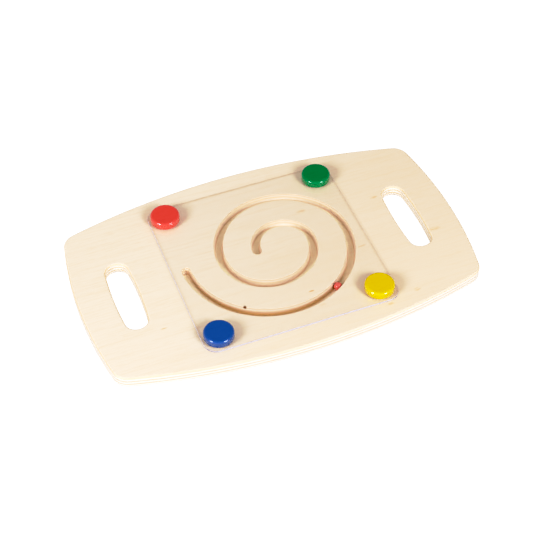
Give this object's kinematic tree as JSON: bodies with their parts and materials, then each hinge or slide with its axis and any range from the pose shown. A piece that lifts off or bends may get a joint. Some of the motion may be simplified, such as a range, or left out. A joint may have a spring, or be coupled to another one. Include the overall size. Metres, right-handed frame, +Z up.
{
  "type": "tilt maze game",
  "caption": "Hand-held wooden tilt game: a barrel-shaped plywood board with hand slots and a spiral ball run under a clear cover held by round knobs.",
  "frame": {"origin": "middle of the board's underside, where it rests", "axes": "+X along the board's length, +Y across its width towards the red and green knobs, +Z up out of the playing face"},
  "size_m": [0.463, 0.287, 0.027],
  "materials": {
    "birch_plywood": "satin clear lacquer on pale plywood",
    "clear_acrylic": "clear, polished",
    "red_lacquered_wood": "gloss lacquer",
    "green_lacquered_wood": "gloss lacquer",
    "blue_lacquered_wood": "gloss lacquer",
    "yellow_lacquered_wood": "gloss lacquer",
    "screw_steel": "zinc plated",
    "red_ball_lacquer": "satin lacquer"
  },
  "bodies": {
    "board": {"maze_board": "birch_plywood", "cover_plate": "clear_acrylic", "knob_red": "red_lacquered_wood", "knob_green": "green_lacquered_wood", "knob_blue": "blue_lacquered_wood", "knob_yellow": "yellow_lacquered_wood", "screw_red": "screw_steel", "screw_green": "screw_steel", "screw_blue": "screw_steel", "screw_yellow": "screw_steel"},
    "rolling_ball": {"ball": "red_ball_lacquer"}
  },
  "joints": [
    {"name": "ball_travel", "type": "hinge", "parent": "board", "child": "rolling_ball", "pos_m": [0, 0.011, 0.00965], "axis": [0, 0, 1], "range_deg": [-125, 55]}
  ]
}
